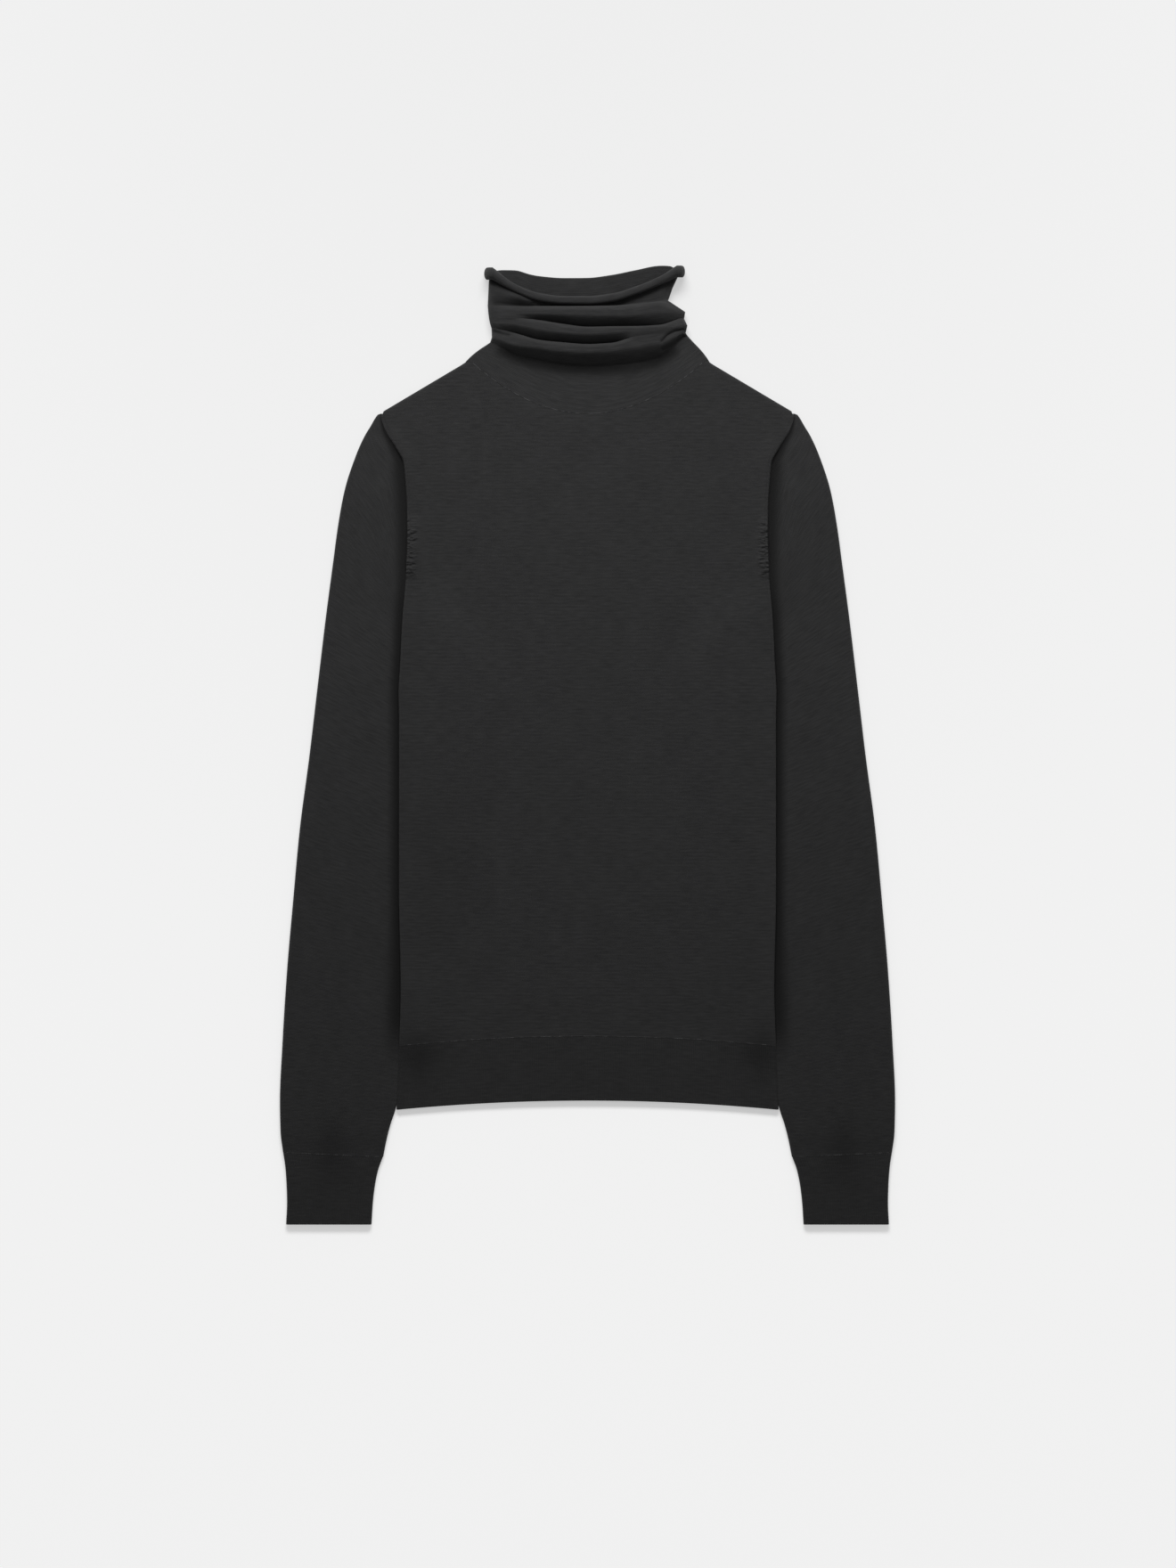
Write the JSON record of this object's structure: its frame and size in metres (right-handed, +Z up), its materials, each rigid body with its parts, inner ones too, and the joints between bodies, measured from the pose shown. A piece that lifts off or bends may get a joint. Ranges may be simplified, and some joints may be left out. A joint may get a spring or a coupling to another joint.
{
  "type": "turtleneck sweater laid flat",
  "caption": "Fine-knit turtleneck sweater lying flat on its back: long sleeves beside the body, tall slouched collar, ribbed hem and cuffs.",
  "frame": {"origin": "centre of the whole outline, on the surface that the sweater lies on", "axes": "+Z up off the surface, +Y along the body from the hem towards the collar, +X to the right as seen from above"},
  "size_m": [0.5182, 0.8065, 0.0194],
  "materials": {
    "body_knit": "matte fine knit",
    "rib_knit": "matte fine rib"
  },
  "bodies": {
    "root": {"front": "body_knit", "back": "body_knit", "sleeve_right": "body_knit", "sleeve_left": "body_knit", "collar": "body_knit", "hem_front": "rib_knit", "hem_back": "rib_knit", "cuff_right": "rib_knit", "cuff_left": "rib_knit"}
  },
  "joints": []
}
